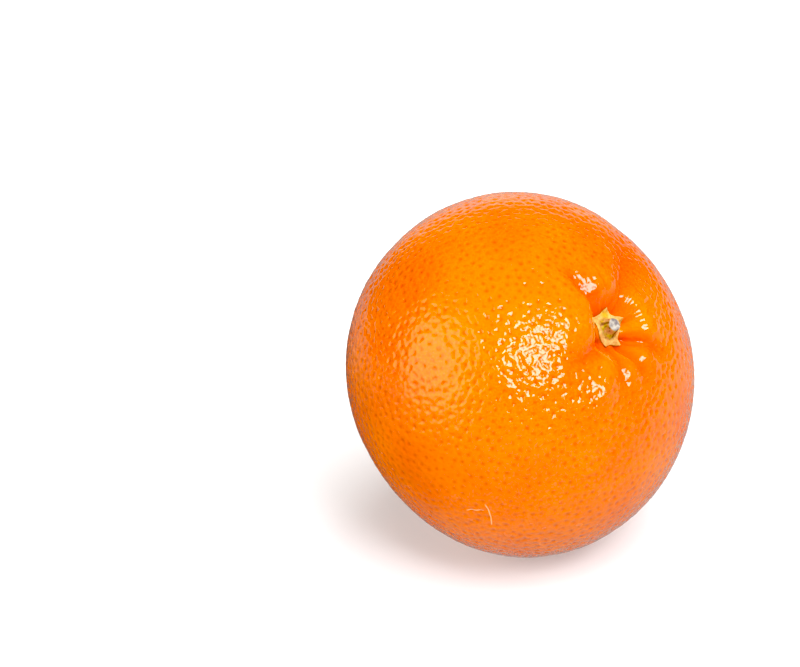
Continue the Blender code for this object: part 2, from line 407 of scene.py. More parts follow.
# %% [markdown]
# Between the pits the peel isn't smooth either. It swells by a tenth of a millimetre or so in patches
# one to six millimetres wide. That is too little to see in the outline, but it is what breaks a
# highlight into islands. Perlin noise gives such gentle patches. The swelling is livelier on the
# shoulder around the stem than further down, and calmer on the +X flank.

# %% Let the peel swell unevenly
PEBBLE = ((0.9, 0.07), (1.9, 0.11), (6.0, 0.18))  # patch width and height
TIGHT_CALMER = 0.6  # share of the swelling that is taken away on the tightest peel
CALM_START, CALM_BAND, CALMER = 22.0, 8.0, 0.55  # distance from the stem axis, fade, share taken away
FLANK_START, FLANK_BAND, FLANK_CALMER = -2.0, 10.0, 0.4  # the same, along X
liveliness = 1.0 - CALMER * smooth_step((from_stem - CALM_START) / CALM_BAND)
liveliness *= 1.0 - FLANK_CALMER * smooth_step((skin[:, 0] - FLANK_START) / FLANK_BAND)
swell = np.zeros(len(skin))
for width, height in PEBBLE:
    frequency = 1.0 / width
    patches = np.array([noise.noise(Vector(p) * frequency) for p in skin])
    swell += height * patches * (1.0 - TIGHT_CALMER * smoothness) * liveliness
print("swelling from %.3f to %.3f mm" % (swell.min(), swell.max()))

# %% [markdown]
# The folds at the stem have faint pleats that run outward from it, which draw their highlights out
# into short streaks. The same noise makes them, when it is read on a flat circle around the stem: it
# then changes around the axis, and not along it.

# %% Pleats in the folds
PLEAT_HEIGHT = 0.14
PLEATS_PER_RADIAN = 11.0
PLEAT_CREST, PLEAT_SPREAD = 7.5, 4.5  # distance from the stem axis, and reach on each side
pleat_place = ball * (1.0, 1.0, 0.0)
pleat_place *= PLEATS_PER_RADIAN / np.linalg.norm(pleat_place + 1e-9, axis=1, keepdims=True)
pleats = np.array([noise.noise(Vector(p)) for p in pleat_place])
pleats *= PLEAT_HEIGHT * bell((from_stem - PLEAT_CREST) / PLEAT_SPREAD)
swell += pleats * smooth_step((from_stem - 2.5) / 2.0)
print("pleats up to %.3f mm high" % pleats.max())

# %% [markdown]
# ## The peel's mesh
#
# Now the pieces come together: distance, pits and swelling along each direction, tilted into the
# world, and laid flat where the fruit rests. The table presses a soft edge, so the height above it
# is squeezed smoothly to nothing instead of being cut. Four numbers go with each point, for the
# material to read: gland, crease, and how far the point is from the stem and from the blossom scar.

# %% Two helpers for meshes
REST_SOFTNESS = 0.35  # height over which the peel bends into its flat spot
REST_BAND = 2.0  # above this height the peel is left alone


def rest_on_table(points):
    """Lays whatever would be below the table on it, with a soft bend."""
    height = points[:, 2]
    softened = 0.5 * (height + np.sqrt(height**2 + REST_SOFTNESS**2))
    blend = smooth_step((REST_BAND - height) / REST_BAND)
    points[:, 2] = height + (softened - 0.5 * REST_SOFTNESS - height) * blend
    points[:, 2] = np.maximum(points[:, 2], 0.0)
    return points


def mesh_piece(name, points, faces, marks=None):
    """A smooth-shaded object from world points in mm, with one number per point for each mark."""
    mesh = bpy.data.meshes.new(name)
    mesh.from_pydata((points * MM).tolist(), [], faces)
    mesh.shade_smooth()
    for mark, values in (marks or {}).items():
        mesh.attributes.new(mark, "FLOAT", "POINT").data.foreach_set("value", values.astype(np.float32))
    piece = bpy.data.objects.new(name, mesh)
    bpy.context.scene.collection.objects.link(piece)
    return piece


print("the flat spot bends over", REST_SOFTNESS, "mm")

# %% Build the peel
# the crease mark drives painted shade in the creases
CREASE_SHADE_DEPTH = 0.9  # depth in mm from which a crease has its full colour
peel_points = rest_on_table(into_world(ball * (distance + swell - pit_depth)[:, None]))
peel_marks = {
    "gland": gland_mark,
    "crease": np.clip(crease / CREASE_SHADE_DEPTH, 0.0, 1.0),
    "from_stem": from_stem,
    "from_blossom": np.where(stem_side, 99.0, reach),
}
peel = mesh_piece("peel", peel_points, triangles.tolist(), peel_marks)
print("peel from", peel_points.min(axis=0).round(2), "to", peel_points.max(axis=0).round(2), "mm")

# %% [markdown]
# ## Waxed citrus peel: its colour
#
# Ripe mandarin peel is orange pigment in a waxy skin. Its colour is never one flat orange: it varies
# in patches about 14 mm wide, and has fine speckles where oil shows through. Pale pinkish specks over
# them are a painted sheen, for fine reflections. The oil glands are deeper and redder. The creases at
# the stem get painted shade: redder, for light that bounces in them from orange to orange, and nearly
# brown right at the calyx, where shade falls. At the blossom end there is a small corky scar.
#
# All of these are one step repeated: lay a colour over the one below it, where some pattern is strong.
# The function for that step uses two nodes. Map Range turns the pattern into an amount, and Mix blends
# the colours. Mix has three sets of sockets, for numbers, vectors and colours, which share their names,
# so the colours are asked for by number: 6 and 7 go in and 2 comes out.

# %% Laying one colour over another
def repeats(width):
    """How many patches of a width in mm fit in a metre, which is what Noise Texture calls its scale."""
    return 1.0 / (width * MM)


def lay_over(tree, below, above, pattern, none, full, share=1.0):
    """Lays a colour over another: not at all where the pattern is at none, and by the share at full."""
    reading = {"Value": pattern, "From Min": none, "From Max": full, "To Min": 0.0, "To Max": share}
    amount = add_node(tree, "MapRange", reading, clamp=True)
    return add_node(tree, "Mix", {0: amount, 6: below, 7: above}, 2, data_type="RGBA", clamp_factor=True)


def peel_colour(tree, place):
    """Orange in patches, with speckles, a painted sheen, glands, painted shade in the creases and at the
    calyx, and the blossom scar laid over it.
    """
    patches = add_node(tree, "TexNoise", {"Vector": place, "Scale": repeats(14.0)})
    speckles = add_node(tree, "TexNoise", {"Vector": place, "Scale": repeats(0.9), "Detail": 3.0})
    # pale pinkish specks of painted sheen, standing for fine reflections
    painted_sheen_specks = add_node(tree, "TexNoise", {"Vector": place, "Scale": repeats(0.45)})
    gland = add_node(tree, "Attribute", {}, "Fac", attribute_name="gland")
    crease = add_node(tree, "Attribute", {}, "Fac", attribute_name="crease")
    from_stem = add_node(tree, "Attribute", {}, "Fac", attribute_name="from_stem")
    from_blossom = add_node(tree, "Attribute", {}, "Fac", attribute_name="from_blossom")
    # painted shade: redder with crease depth, for light bounced from orange to orange, and darker near the
    # calyx
    painted_crease_shade = add_node(tree, "MapRange", {"Value": crease, "From Min": 0.15, "From Max": 0.9})
    calyx_shade_reach = add_node(tree, "MapRange", {"Value": from_stem, "From Min": 5.2, "From Max": 3.0})
    deepest = add_node(tree, "Math", {0: painted_crease_shade, 1: calyx_shade_reach}, operation="MULTIPLY")
    colour = lay_over(tree, "#d46300", "#dc7100", patches, 0.35, 0.65)
    colour = lay_over(tree, colour, "#cc6000", speckles, 0.4, 0.7, 0.35)
    # painted sheen: pale pinkish specks over the orange
    colour = lay_over(tree, colour, "#d07058", painted_sheen_specks, 0.52, 0.75, 0.30)
    colour = lay_over(tree, colour, "#bc4c00", gland, 0.3, 1.0, 0.65)
    # painted shade in the creases, nearly brown where they meet the calyx
    colour = lay_over(tree, colour, "#e44a00", painted_crease_shade, 0.0, 1.0, 0.65)
    colour = lay_over(tree, colour, "#5a1400", deepest, 0.0, 1.0, 0.65)
    return lay_over(tree, colour, "#7a5426", from_blossom, 1.6, 0.7)


print("the widest patches repeat", round(repeats(14.0), 1), "times in a metre")

# %% [markdown]
# A fruit that has rubbed against a twig carries hair-thin pale scuffs. This one has two, near its
# widest ring. Each is a curved line between two places on the peel, and its mask is worked out from
# where a point lies along the line and beside it. A parabola bows the line.

# %% Two scuffs
# azimuth and angle from the stem axis of both ends, and how far the middle bows aside in mm
SCUFFS = ((-150.5, 86.4, -147.2, 81.6, 0.1), (-148.5, 78.8, -140.6, 84.6, 0.4))
SCUFF_EDGES = (0.04, 0.13)  # half width of its pale middle and of the whole, in mm
SCUFF_ENDS = 0.7  # share of the squared half length after which it fades out


def peel_place(azimuth, polar):
    """A world point on the smooth peel, in mm, from two angles in degrees."""
    turn, lean = math.radians(azimuth), math.radians(polar)
    direction = around_axis(turn, math.sin(lean), math.cos(lean))[None]
    return into_world(direction * peel_shape(direction)[0][:, None])[0]


def scuff_mask(tree, place, start, end, bow):
    """1 on a curved line from one world point to another, in mm, and 0 beside it."""
    middle = (start + end) / 2.0
    half_length = np.linalg.norm(end - start) / 2.0
    along = (end - start) / (2.0 * half_length)
    across = np.cross(middle - centre, along)
    across /= np.linalg.norm(across)
    offset = add_node(tree, "VectorMath", {0: place, 1: middle * MM}, operation="SUBTRACT")
    far = add_node(tree, "VectorMath", {0: offset, 1: along}, "Value", operation="DOT_PRODUCT")
    aside = add_node(tree, "VectorMath", {0: offset, 1: across}, "Value", operation="DOT_PRODUCT")
    share = add_node(tree, "Math", {0: far, 1: half_length * MM}, operation="DIVIDE")
    squared = add_node(tree, "Math", {0: share, 1: share}, operation="MULTIPLY")
    curved = add_node(tree, "Math", {0: squared, 1: bow * MM, 2: aside}, operation="MULTIPLY_ADD")
    gap = add_node(tree, "Math", {0: curved}, operation="ABSOLUTE")
    inner, outer = (edge * MM for edge in SCUFF_EDGES)
    thin = add_node(tree, "MapRange", {"Value": gap, "From Min": outer, "From Max": inner})
    inside = add_node(tree, "MapRange", {"Value": squared, "From Min": 1.0, "From Max": SCUFF_ENDS})
    return add_node(tree, "Math", {0: thin, 1: inside}, operation="MULTIPLY")


def scuffed(tree, place, colour):
    """The peel's colour with the scuffs on it."""
    for start_turn, start_lean, end_turn, end_lean, bow in SCUFFS:
        ends = peel_place(start_turn, start_lean), peel_place(end_turn, end_lean)
        mask = scuff_mask(tree, place, *ends, bow)
        colour = lay_over(tree, colour, "#dcc890", mask, 0.0, 1.0, 0.65)
    return colour


print("the first scuff starts at", peel_place(*SCUFFS[0][:2]).round(1), "mm")

# %% [markdown]
# ## Waxed citrus peel: its gloss
#
# Light enters ripe peel a little way, so it glows rather than looking painted: that is the subsurface
# part. Growers wax the fruit, and the wax is a second surface, which the Principled shader calls its
# coat. It mirrors the lamps sharply, where the peel below it only shines softly, with an orange tint.
# A coat IOR of 1.7 is more than wax has (1.45), and makes up for a lamp that is smaller than a shop
# window.
#
# The wax has set in ripples of its own, about 0.75 mm wide, so it gets its own bump, in Coat Normal.
# The ripples calm down where the peel's swelling does. They are a little wider than on a real fruit,
# because finer ones would be too small to see from here. The grain of the peel itself is 0.22 mm wide.

# %% The wax
RIPPLE_HEIGHT, CALM_RIPPLE_HEIGHT = 0.10, 0.015  # in mm, near the stem and beyond the shoulder


def wax_normal(tree, place, from_stem):
    """The normal of the wax, which ripples on the shoulder and is calm further down and on the +X flank."""
    ripple = add_node(tree, "TexNoise", {"Vector": place, "Scale": repeats(0.75), "Detail": 1.0})
    heights = {"To Min": RIPPLE_HEIGHT * MM, "To Max": CALM_RIPPLE_HEIGHT * MM}
    height = add_node(tree, "MapRange", {"Value": from_stem, "From Min": 20.0, "From Max": 30.0, **heights})
    flank = add_node(tree, "SeparateXYZ", {"Vector": place}, "X")
    edges = {"From Min": -2.0 * MM, "From Max": 9.0 * MM, "To Min": 1.0, "To Max": 0.3}
    calm = add_node(tree, "MapRange", {"Value": flank, **edges})
    height = add_node(tree, "Math", {0: height, 1: calm}, operation="MULTIPLY")
    return add_node(tree, "Bump", {"Strength": 1.0, "Height": ripple, "Distance": height})


print("the wax ripples by", CALM_RIPPLE_HEIGHT, "to", RIPPLE_HEIGHT, "mm")

# %% The peel's material
def waxed_citrus_peel():
    """Orange peel under wax: soft inside, with a sharp, rippled gloss on top."""
    made, tree, shader = new_material("waxed_citrus_peel")
    place = add_node(tree, "TexCoord", {}, "Object")
    from_stem = add_node(tree, "Attribute", {}, "Fac", attribute_name="from_stem")
    dull = add_node(tree, "TexNoise", {"Vector": place, "Scale": repeats(2.5)})
    dull_range = {"From Min": 0.3, "From Max": 0.7, "To Min": 0.2, "To Max": 0.28}
    grain = add_node(tree, "TexNoise", {"Vector": place, "Scale": repeats(0.22)})
    wax_range = {"From Min": 2.5, "From Max": 5.5, "To Min": 0.3, "To Max": 1.0}
    fill_sockets(tree, shader, {
        "Base Color": scuffed(tree, place, peel_colour(tree, place)),
        "Roughness": add_node(tree, "MapRange", {"Value": dull, **dull_range}),
        "Normal": add_node(tree, "Bump", {"Strength": 0.25, "Distance": 0.02 * MM, "Height": grain}),
        "IOR": 1.42,
        "Specular Tint": "#ff9838",
        "Subsurface Weight": 0.12,
        "Subsurface Radius": (1.0, 0.35, 0.08),
        "Subsurface Scale": 1.0 * MM,
        "Coat Weight": add_node(tree, "MapRange", {"Value": from_stem, **wax_range}),
        "Coat Roughness": 0.06,
        "Coat IOR": 1.7,
        "Coat Normal": wax_normal(tree, place, from_stem),
    })
    return made


peel.data.materials.append(waxed_citrus_peel())
print("peel material:", peel.data.materials[0].name)

# %% [markdown]
# ## The dried calyx
#
# Under the stem sits the calyx: five small sepals that once held the flower and have dried to straw.
# They lie on the peel and follow it down into the basin. We draw their star as a formula too, a round
# waist with a pointed sepal in five directions, and lay a thin closed sheet in that outline over the
# peel: a top side and an under side that meet at a rounded rim. The whole star sits a little beside
# the stem axis, as it often does when a fruit has grown lopsided.

# %% Sizes of the calyx
SEPALS = ((64.0, 3.75), (125.0, 3.5), (233.0, 3.2), (283.0, 3.75), (6.0, 3.8))  # azimuth and length
CALYX_PLACE = (0.15, 0.42)  # its middle, beside the stem axis
SEPAL_WAIST = 2.45  # how far the calyx reaches between two sepals
SEPAL_TAPER = 20.0  # degrees to the side where a sepal has shrunk to about a third
SEPAL_THICKNESS = 0.34
SEPAL_GAP = 0.04  # between the peel and the under side
RIB_HEIGHT, RIB_HALF_WIDTH = 0.14, 0.30  # of the rib along each sepal
RAGGED, RAG_WIDTH = 0.10, 0.9  # how uneven the torn edges are, and how wide their notches
RAG_CIRCLE = 3.2  # radius of the circle on which the noise for them is read
CURL = 0.22  # how far the dry tips lift
WRINKLES = ((0.12, 0.55, 0.0), (0.06, 0.25, 9.0))  # height, width, and an offset that makes them differ
FRESH_SEPAL = 66.0  # azimuth of the one that is still yellow
AROUND, RINGS = 320, 40  # points around the star, and from its middle to its rim
print("calyx about", 2.0 * max(length for _, length in SEPALS), "mm across")


# %% Following the peel
def over_peel(azimuth, reach, height):
    """Points at a height above the peel, at these azimuths and distances from the calyx's middle."""
    x = reach * np.cos(azimuth) + CALYX_PLACE[0]
    y = reach * np.sin(azimuth) + CALYX_PLACE[1]
    azimuth, reach = np.arctan2(y, x), np.hypot(x, y)
    distance = STEM_POLE - 2.5  # a first guess, which the loop corrects
    for _ in range(4):
        polar = np.arcsin(reach / distance)
        directions = around_axis(azimuth, np.sin(polar), np.cos(polar))
        distance = peel_shape(directions.reshape(-1, 3))[0].reshape(polar.shape)
    return directions * (distance + height)[..., None]


def noise_at(points, width):
    """Perlin noise with patches of a width, read at points."""
    flat = points.reshape(-1, 3) / width
    return np.array([noise.noise(Vector(p)) for p in flat]).reshape(points.shape[:-1])


print("the basin's floor is at", over_peel(np.zeros(1), np.zeros(1), 0.0)[0].round(2), "mm")

# %% The star's outline
around = np.linspace(0.0, 2.0 * np.pi, AROUND, endpoint=False)
outline = SEPAL_WAIST + RAGGED * noise_at(around_axis(around, RAG_CIRCLE, 0.0), RAG_WIDTH)
for turn, length in SEPALS:
    aside = np.degrees(np.abs(turn_between(around, turn)))
    outline += (length - SEPAL_WAIST) * np.exp(-((aside / SEPAL_TAPER) ** 1.15))
print("calyx from", outline.min().round(2), "to", outline.max().round(2), "mm out from its middle")

# %% Lay the calyx over the peel
share = np.sin(np.linspace(0.0, 1.0, RINGS + 1) * np.pi / 2.0)[:, None]
azimuth = np.broadcast_to(around, (RINGS + 1, AROUND))
sepal_reach = share * outline
rib = sum(bell(turn_between(azimuth, turn) * sepal_reach / RIB_HALF_WIDTH) for turn, _ in SEPALS)
rib = rib * smooth_step(sepal_reach / 1.5) * (1.0 - share**4)
flat_star = around_axis(azimuth, sepal_reach, 0.0)
wrinkles = sum(height * noise_at(flat_star + offset, width) for height, width, offset in WRINKLES)
under_height = SEPAL_GAP + CURL * smooth_step((sepal_reach - SEPAL_WAIST) / 1.6)
top_height = under_height + SEPAL_THICKNESS * np.sqrt(1.0 - share**6)
top_height = top_height + RIB_HEIGHT * rib + wrinkles * (1.0 - share**8)
top = over_peel(azimuth, sepal_reach, top_height)
under = over_peel(azimuth, sepal_reach, under_height)
print("its top is %.2f mm above the peel at most" % top_height.max())


# %% Joining rings into a closed skin
def lofted(rows):
    """Points and faces of rings joined in order, with the first and last closed by a fan."""
    count = rows.shape[1]
    inner = rows[1:-1].reshape(-1, 3)
    points = np.concatenate([inner, rows[0].mean(axis=0)[None], rows[-1].mean(axis=0)[None]])
    faces = []
    for row in range(rows.shape[0] - 3):
        for i in range(count):
            a, b = row * count + i, row * count + (i + 1) % count
            faces.append((a, b, b + count, a + count))
    last = (rows.shape[0] - 3) * count
    for i in range(count):
        faces.append((len(inner), (i + 1) % count, i))
        faces.append((len(inner) + 1, last + i, last + (i + 1) % count))
    return points, faces


def lofted_marks(rows):
    """One number per point of a lofted skin, from one per point of its rings."""
    return np.concatenate([rows[1:-1].ravel(), rows[0][:1], rows[-1][:1]])


def under_and_top(under_rows, top_rows):
    """Rings out along the under side and back in along the top."""
    return np.concatenate([under_rows, top_rows[::-1][1:]])


print("the calyx has", len(under_and_top(under, top)), "rings")

# %% Build the calyx
calyx_points, calyx_faces = lofted(under_and_top(under, top))
rim = np.broadcast_to(share, azimuth.shape)
fresh = bell(turn_between(azimuth, FRESH_SEPAL) / 0.5) * bell((sepal_reach - 2.5) / 0.9)
calyx_marks = {
    "from_stem": lofted_marks(under_and_top(sepal_reach, sepal_reach)),
    "rim": lofted_marks(under_and_top(rim, rim)),
    "fresh": lofted_marks(under_and_top(0.0 * fresh, fresh)),
}
calyx = mesh_piece("dried_calyx", into_world(calyx_points), calyx_faces, calyx_marks)
print("calyx:", len(calyx_points), "points")

# %% [markdown]
# ## Dry, papery sepal
#
# A dry sepal is dead plant fibre, like thin brown paper: matt, with no clear gloss, and a typical IOR
# for cellulose of 1.45. It is tan with darker patches and fine fibres, olive towards the stem, and
# brown along the torn rim. One sepal dried later than the others and is still yellow. Real fibres are
# finer than 0.1 mm, and are drawn 0.25 mm wide here so that they show.

# %% The calyx's material
def dry_papery_sepal():
    """Dead fibre, matt and tan, with an olive middle, a brown rim and one yellow sepal."""
    made, tree, shader = new_material("dry_papery_sepal")
    place = add_node(tree, "TexCoord", {}, "Object")
    patches = add_node(tree, "TexNoise", {"Vector": place, "Scale": repeats(1.2), "Detail": 3.0})
    fibres = add_node(tree, "TexNoise", {"Vector": place, "Scale": repeats(0.25)})
    grain = add_node(tree, "TexNoise", {"Vector": place, "Scale": repeats(0.18), "Detail": 3.0})
    fresh = add_node(tree, "Attribute", {}, "Fac", attribute_name="fresh")
    from_stem = add_node(tree, "Attribute", {}, "Fac", attribute_name="from_stem")
    rim = add_node(tree, "Attribute", {}, "Fac", attribute_name="rim")
    colour = lay_over(tree, "#bc8c42", "#d2a864", patches, 0.35, 0.65)
    colour = lay_over(tree, colour, "#caa408", fresh, 0.3, 1.0, 0.8)
    colour = lay_over(tree, colour, "#8a5f28", fibres, 0.45, 0.7, 0.45)
    colour = lay_over(tree, colour, "#6e5420", from_stem, 2.3, 1.6, 0.8)
    fill_sockets(tree, shader, {
        "Base Color": lay_over(tree, colour, "#7c4a1e", rim, 0.95, 1.0, 0.55),
        "Roughness": 0.7,
        "IOR": 1.45,
        "Normal": add_node(tree, "Bump", {"Strength": 0.5, "Distance": 0.04 * MM, "Height": grain}),
    })
    return made


calyx.data.materials.append(dry_papery_sepal())
print("calyx material:", calyx.data.materials[0].name)

# %% [markdown]
# ## The cut stem
#
# The fruit is clipped from its twig, which leaves a stub about two millimetres long. It flares where
# it grows into the calyx, its bark is fluted and cracked, and the cut end is pale, dry wood. We build
# it from rings up the stub, over a rounded rim and in across the slightly hollow cut, and join them in
# the same way as the calyx.

# %% Sizes of the stem
STEM_FOOT, STEM_WAIST, STEM_END = 1.95, 1.60, 1.20  # radius at the calyx, just above it, and at the cut
STEM_BASE, STEM_TOP = 0.1, 2.15  # heights above the peel in the middle of the basin
FLARE_HEIGHT = 0.32  # share of the stub's height over which it flares
STEM_FLUTES = ((5, 0.055, 20.0), (3, 0.05, 75.0), (9, 0.022, 0.0))  # crests, height, azimuth of a crest
STEM_LEAN = 3.0  # degrees, towards the fruit's own +Y
CUT_SLANT = 5.0  # degrees
CUT_BULGE, CUT_HOLLOW = 0.07, 0.16  # the rounded rim of the cut above its edge, and the middle below it
BARK_ROUGHNESS = 0.10
STEM_AROUND, STEM_ROWS, CUT_ROWS = 160, 34, 18  # points around, rings up the side and across the cut
print("stub of", round(STEM_TOP - STEM_BASE, 2), "mm")

# %% The stem's rings, up the side and in across the cut
turns = np.linspace(0.0, 2.0 * np.pi, STEM_AROUND, endpoint=False)
flutes = sum(height * np.cos(crests * turn_between(turns, crest)) for crests, height, crest in STEM_FLUTES)
up_share = np.linspace(0.0, 1.0, STEM_ROWS)[:, None]
in_share = np.linspace(0.0, 1.0, CUT_ROWS)[:, None]
side_radius = STEM_END + (STEM_WAIST - STEM_END) * (1.0 - up_share)
side_radius = side_radius + (STEM_FOOT - STEM_WAIST) * bell(up_share / FLARE_HEIGHT)
side_radius = side_radius + flutes * (1.0 - 0.4 * up_share)
side_height = STEM_BASE + (STEM_TOP - STEM_BASE) * up_share
cut_radius = side_radius[-1] * (1.0 - 0.05 * smooth_step(in_share / 0.12)) * (1.0 - in_share)
cut_height = STEM_TOP + CUT_BULGE * smooth_step(in_share / 0.15)
cut_height = cut_height - CUT_HOLLOW * smooth_step((in_share - 0.1) / 0.7)
rows_radius = np.concatenate([0.0 * side_radius[:1], side_radius, cut_radius[1:]])
rows_height = np.concatenate([side_height[:1], side_height, cut_height[1:]]) + 0.0 * turns
on_cut = (np.arange(len(rows_radius)) > STEM_ROWS)[:, None] + 0.0 * turns
rings = around_axis(turns, rows_radius, rows_height)
print("stem rings:", len(rings))

# %% Cracks, slant and lean
rough = noise_at(rings * (1.0, 1.0, 0.5), 0.45)
grain = noise_at(rings + 5.0, 0.22)
bark = BARK_ROUGHNESS * rough * (1.0 - on_cut) * (rows_radius > 0.1)
rings = rings + around_axis(turns, 1.0, 0.0) * bark[..., None]
up_stub = (rows_height - STEM_BASE) / (STEM_TOP - STEM_BASE)
rings[..., 2] += (0.04 * grain + 0.05 * rough) * on_cut
rings[..., 2] += math.tan(math.radians(CUT_SLANT)) * rings[..., 0] * up_stub
rings = rings @ np.array(Matrix.Rotation(math.radians(-STEM_LEAN), 3, "X")).T
rings += over_peel(np.zeros(1), np.zeros(1), 0.0)[0]
print("the bark is uneven by %.2f mm" % np.ptp(bark))

# %% Build the stem
stem_points, stem_faces = lofted(rings)
stem_marks = {
    "cut": lofted_marks(on_cut),
    # the depth of the flutes, which drives painted shade in them
    "flute_shade": lofted_marks(-flutes + 0.0 * rows_radius),
    "out": lofted_marks(rows_radius / STEM_END),
}
stem = mesh_piece("cut_stem", into_world(stem_points), stem_faces, stem_marks)
print("stem:", len(stem_points), "points, top at", rows_height.max().round(2), "mm above the basin")

# %% [markdown]
# ## Cracked bark and cut wood
#
# The stub has two finishes. Its bark is dry and matt, olive and tan, with dark cracks and painted shade
# in its flutes. The cut is bare wood that has weathered to grey, browner at the edge, where the bark
# ends. A mark on each point says which of the two it is. Both have the IOR of cellulose and no gloss.

# %% The stem's material
def cracked_bark_and_cut_wood():
    """Matt bark with dark cracks and painted shade in its flutes, and weathered grey wood on the cut."""
    made, tree, shader = new_material("cracked_bark_and_cut_wood")
    place = add_node(tree, "TexCoord", {}, "Object")
    patches = add_node(tree, "TexNoise", {"Vector": place, "Scale": repeats(1.3)})
    cracks = add_node(tree, "TexNoise", {"Vector": place, "Scale": repeats(0.35), "Detail": 3.0})
    weathering = add_node(tree, "TexNoise", {"Vector": place, "Scale": repeats(0.8), "Detail": 3.0})
    grain = add_node(tree, "TexNoise", {"Vector": place, "Scale": repeats(0.15), "Detail": 3.0})
    flute_shade = add_node(tree, "Attribute", {}, "Fac", attribute_name="flute_shade")
    out = add_node(tree, "Attribute", {}, "Fac", attribute_name="out")
    cut = add_node(tree, "Attribute", {}, "Fac", attribute_name="cut")
    bark = lay_over(tree, "#a8942a", "#b08452", patches, 0.4, 0.6)
    # painted shade in the flutes
    bark = lay_over(tree, bark, "#4e2c18", flute_shade, 0.03, 0.11, 0.75)
    bark = lay_over(tree, bark, "#5a3a20", cracks, 0.55, 0.68, 0.8)
    wood = lay_over(tree, "#6e6766", "#a39c90", weathering, 0.4, 0.62)
    wood = lay_over(tree, wood, "#7c6c50", out, 0.86, 1.0, 0.75)
    fill_sockets(tree, shader, {
        "Base Color": lay_over(tree, bark, wood, cut, 0.4, 0.6),
        "Roughness": 0.75,
        "IOR": 1.45,
        "Normal": add_node(tree, "Bump", {"Strength": 0.6, "Distance": 0.05 * MM, "Height": grain}),
    })
    return made


stem.data.materials.append(cracked_bark_and_cut_wood())
print("stem material:", stem.data.materials[0].name)

# %% [markdown]
# ## The table
#
# The fruit lies on a sheet of white paper. It glows a little, standing for paper lit from all round,
# so that it shines nearly white by itself: a painted glow, weaker close to the fruit than further out,
# which adds painted shade around the fruit's contact shadow. The Light Path node tells what kind of ray
# has met the sheet. A ray that the wax has mirrored sees a darker sheet, and darker still on the far
# side, where a painted shadow stands for the fruit's own. Without this the fruit's lower edge would be as
# bright as its top.

# %% White paper sheet
GLOW_NEAR, GLOW_FAR = 0.38, 0.68  # glow of the sheet at two distances from the fruit
GLOW_DISTANCES = (35.0, 150.0)  # in mm
MIRRORED_GLOW = 0.40  # glow that the wax mirrors, outside the fruit's shadow
SHADOW_SIDE = (-0.5, 0.86, 0.0)
SHADOW_START, SHADOW_FULL, SHADOW_DEPTH = 5.0, 40.0, 0.8  # mm towards that side, and share taken away
SHADOW_FADE = (240.0, 110.0)  # distances in mm where the shadow has ended, and where it starts to fade


def white_paper_sheet():
    """Matt white paper with a painted glow that is weaker near the fruit; darker in mirrored rays, with a
    painted shadow.
    """
    made, tree, shader = new_material("white_paper_sheet")
    place = add_node(tree, "TexCoord", {}, "Object")
    away = add_node(tree, "VectorMath", {0: place}, "Value", operation="LENGTH")
    near, far = (distance * MM for distance in GLOW_DISTANCES)
    glow_range = {"From Min": near, "From Max": far, "To Min": GLOW_NEAR, "To Max": GLOW_FAR}
    # painted glow, weaker near the fruit
    glow = add_node(tree, "MapRange", {"Value": away, **glow_range})
    # painted shadow for mirrored rays, on the far side of the fruit
    past = add_node(tree, "VectorMath", {0: place, 1: SHADOW_SIDE}, "Value", operation="DOT_PRODUCT")
    shadow_range = {"From Min": SHADOW_START * MM, "From Max": SHADOW_FULL * MM, "To Max": SHADOW_DEPTH}
    shadow = add_node(tree, "MapRange", {"Value": past, **shadow_range})
    ended, fading = (distance * MM for distance in SHADOW_FADE)
    nearby = add_node(tree, "MapRange", {"Value": away, "From Min": ended, "From Max": fading})
    shadow = add_node(tree, "Math", {0: shadow, 1: nearby}, operation="MULTIPLY")
    dimmed = {0: shadow, 1: -MIRRORED_GLOW, 2: MIRRORED_GLOW}
    gleam = add_node(tree, "Math", dimmed, operation="MULTIPLY_ADD")
    mirrored = add_node(tree, "LightPath", {}, "Is Glossy Ray")
    fill_sockets(tree, shader, {
        "Base Color": lay_over(tree, "#c0c0c0", "#303030", mirrored, 0.0, 1.0),
        "Roughness": 0.7,
        "Emission Color": "#ffffff",
        "Emission Strength": add_node(tree, "Mix", {0: mirrored, 2: glow, 3: gleam}),
    })
    return made


print("glow of the sheet:", GLOW_NEAR, "to", GLOW_FAR)

# %% Lay the sheet
SHEET_SIDE = 3000.0
SHEET_DROP = 0.02  # keeps the sheet just under the fruit's flat spot
half = SHEET_SIDE / 2.0
sheet_corners = np.array([(-half, -half), (half, -half), (half, half), (-half, half)])
sheet_points = np.column_stack([sheet_corners, np.full(4, -SHEET_DROP)])
floor = mesh_piece("floor", sheet_points, [(0, 1, 2, 3)])
floor.data.materials.append(white_paper_sheet())
print("a sheet", SHEET_SIDE / 1000.0, "m wide")

# %% [markdown]
# ## White walls
#
# White walls stand all round, and they matter most: at the fruit's edges the wax mirrors them, which
# rims the orange with a pale sheen. Blender calls what lies beyond every object the world. Here too
# the Light Path node splits it: straight towards the camera it is plain white, for soft light on the
# fruit it is a weak, even fill, and for the wax it has a bright wall behind the fruit and a warm glow
# low on one side.
#
# The picture's black level is raised by a few hundredths, as a developer of bright product pictures
# does. It deepens the orange, because the little blue that is in it falls to nothing.

# %% A direction from two angles
def direction_to(azimuth, elevation):
    """Unit vector from the fruit; azimuth 0 is towards -Y, and 90 towards +X."""
    turn, rise = math.radians(azimuth), math.radians(elevation)
    flat = math.cos(rise)
    return Vector((math.sin(turn) * flat, -math.cos(turn) * flat, math.sin(rise)))


print("straight to the left:", [round(x, 2) for x in direction_to(-90.0, 0.0)])

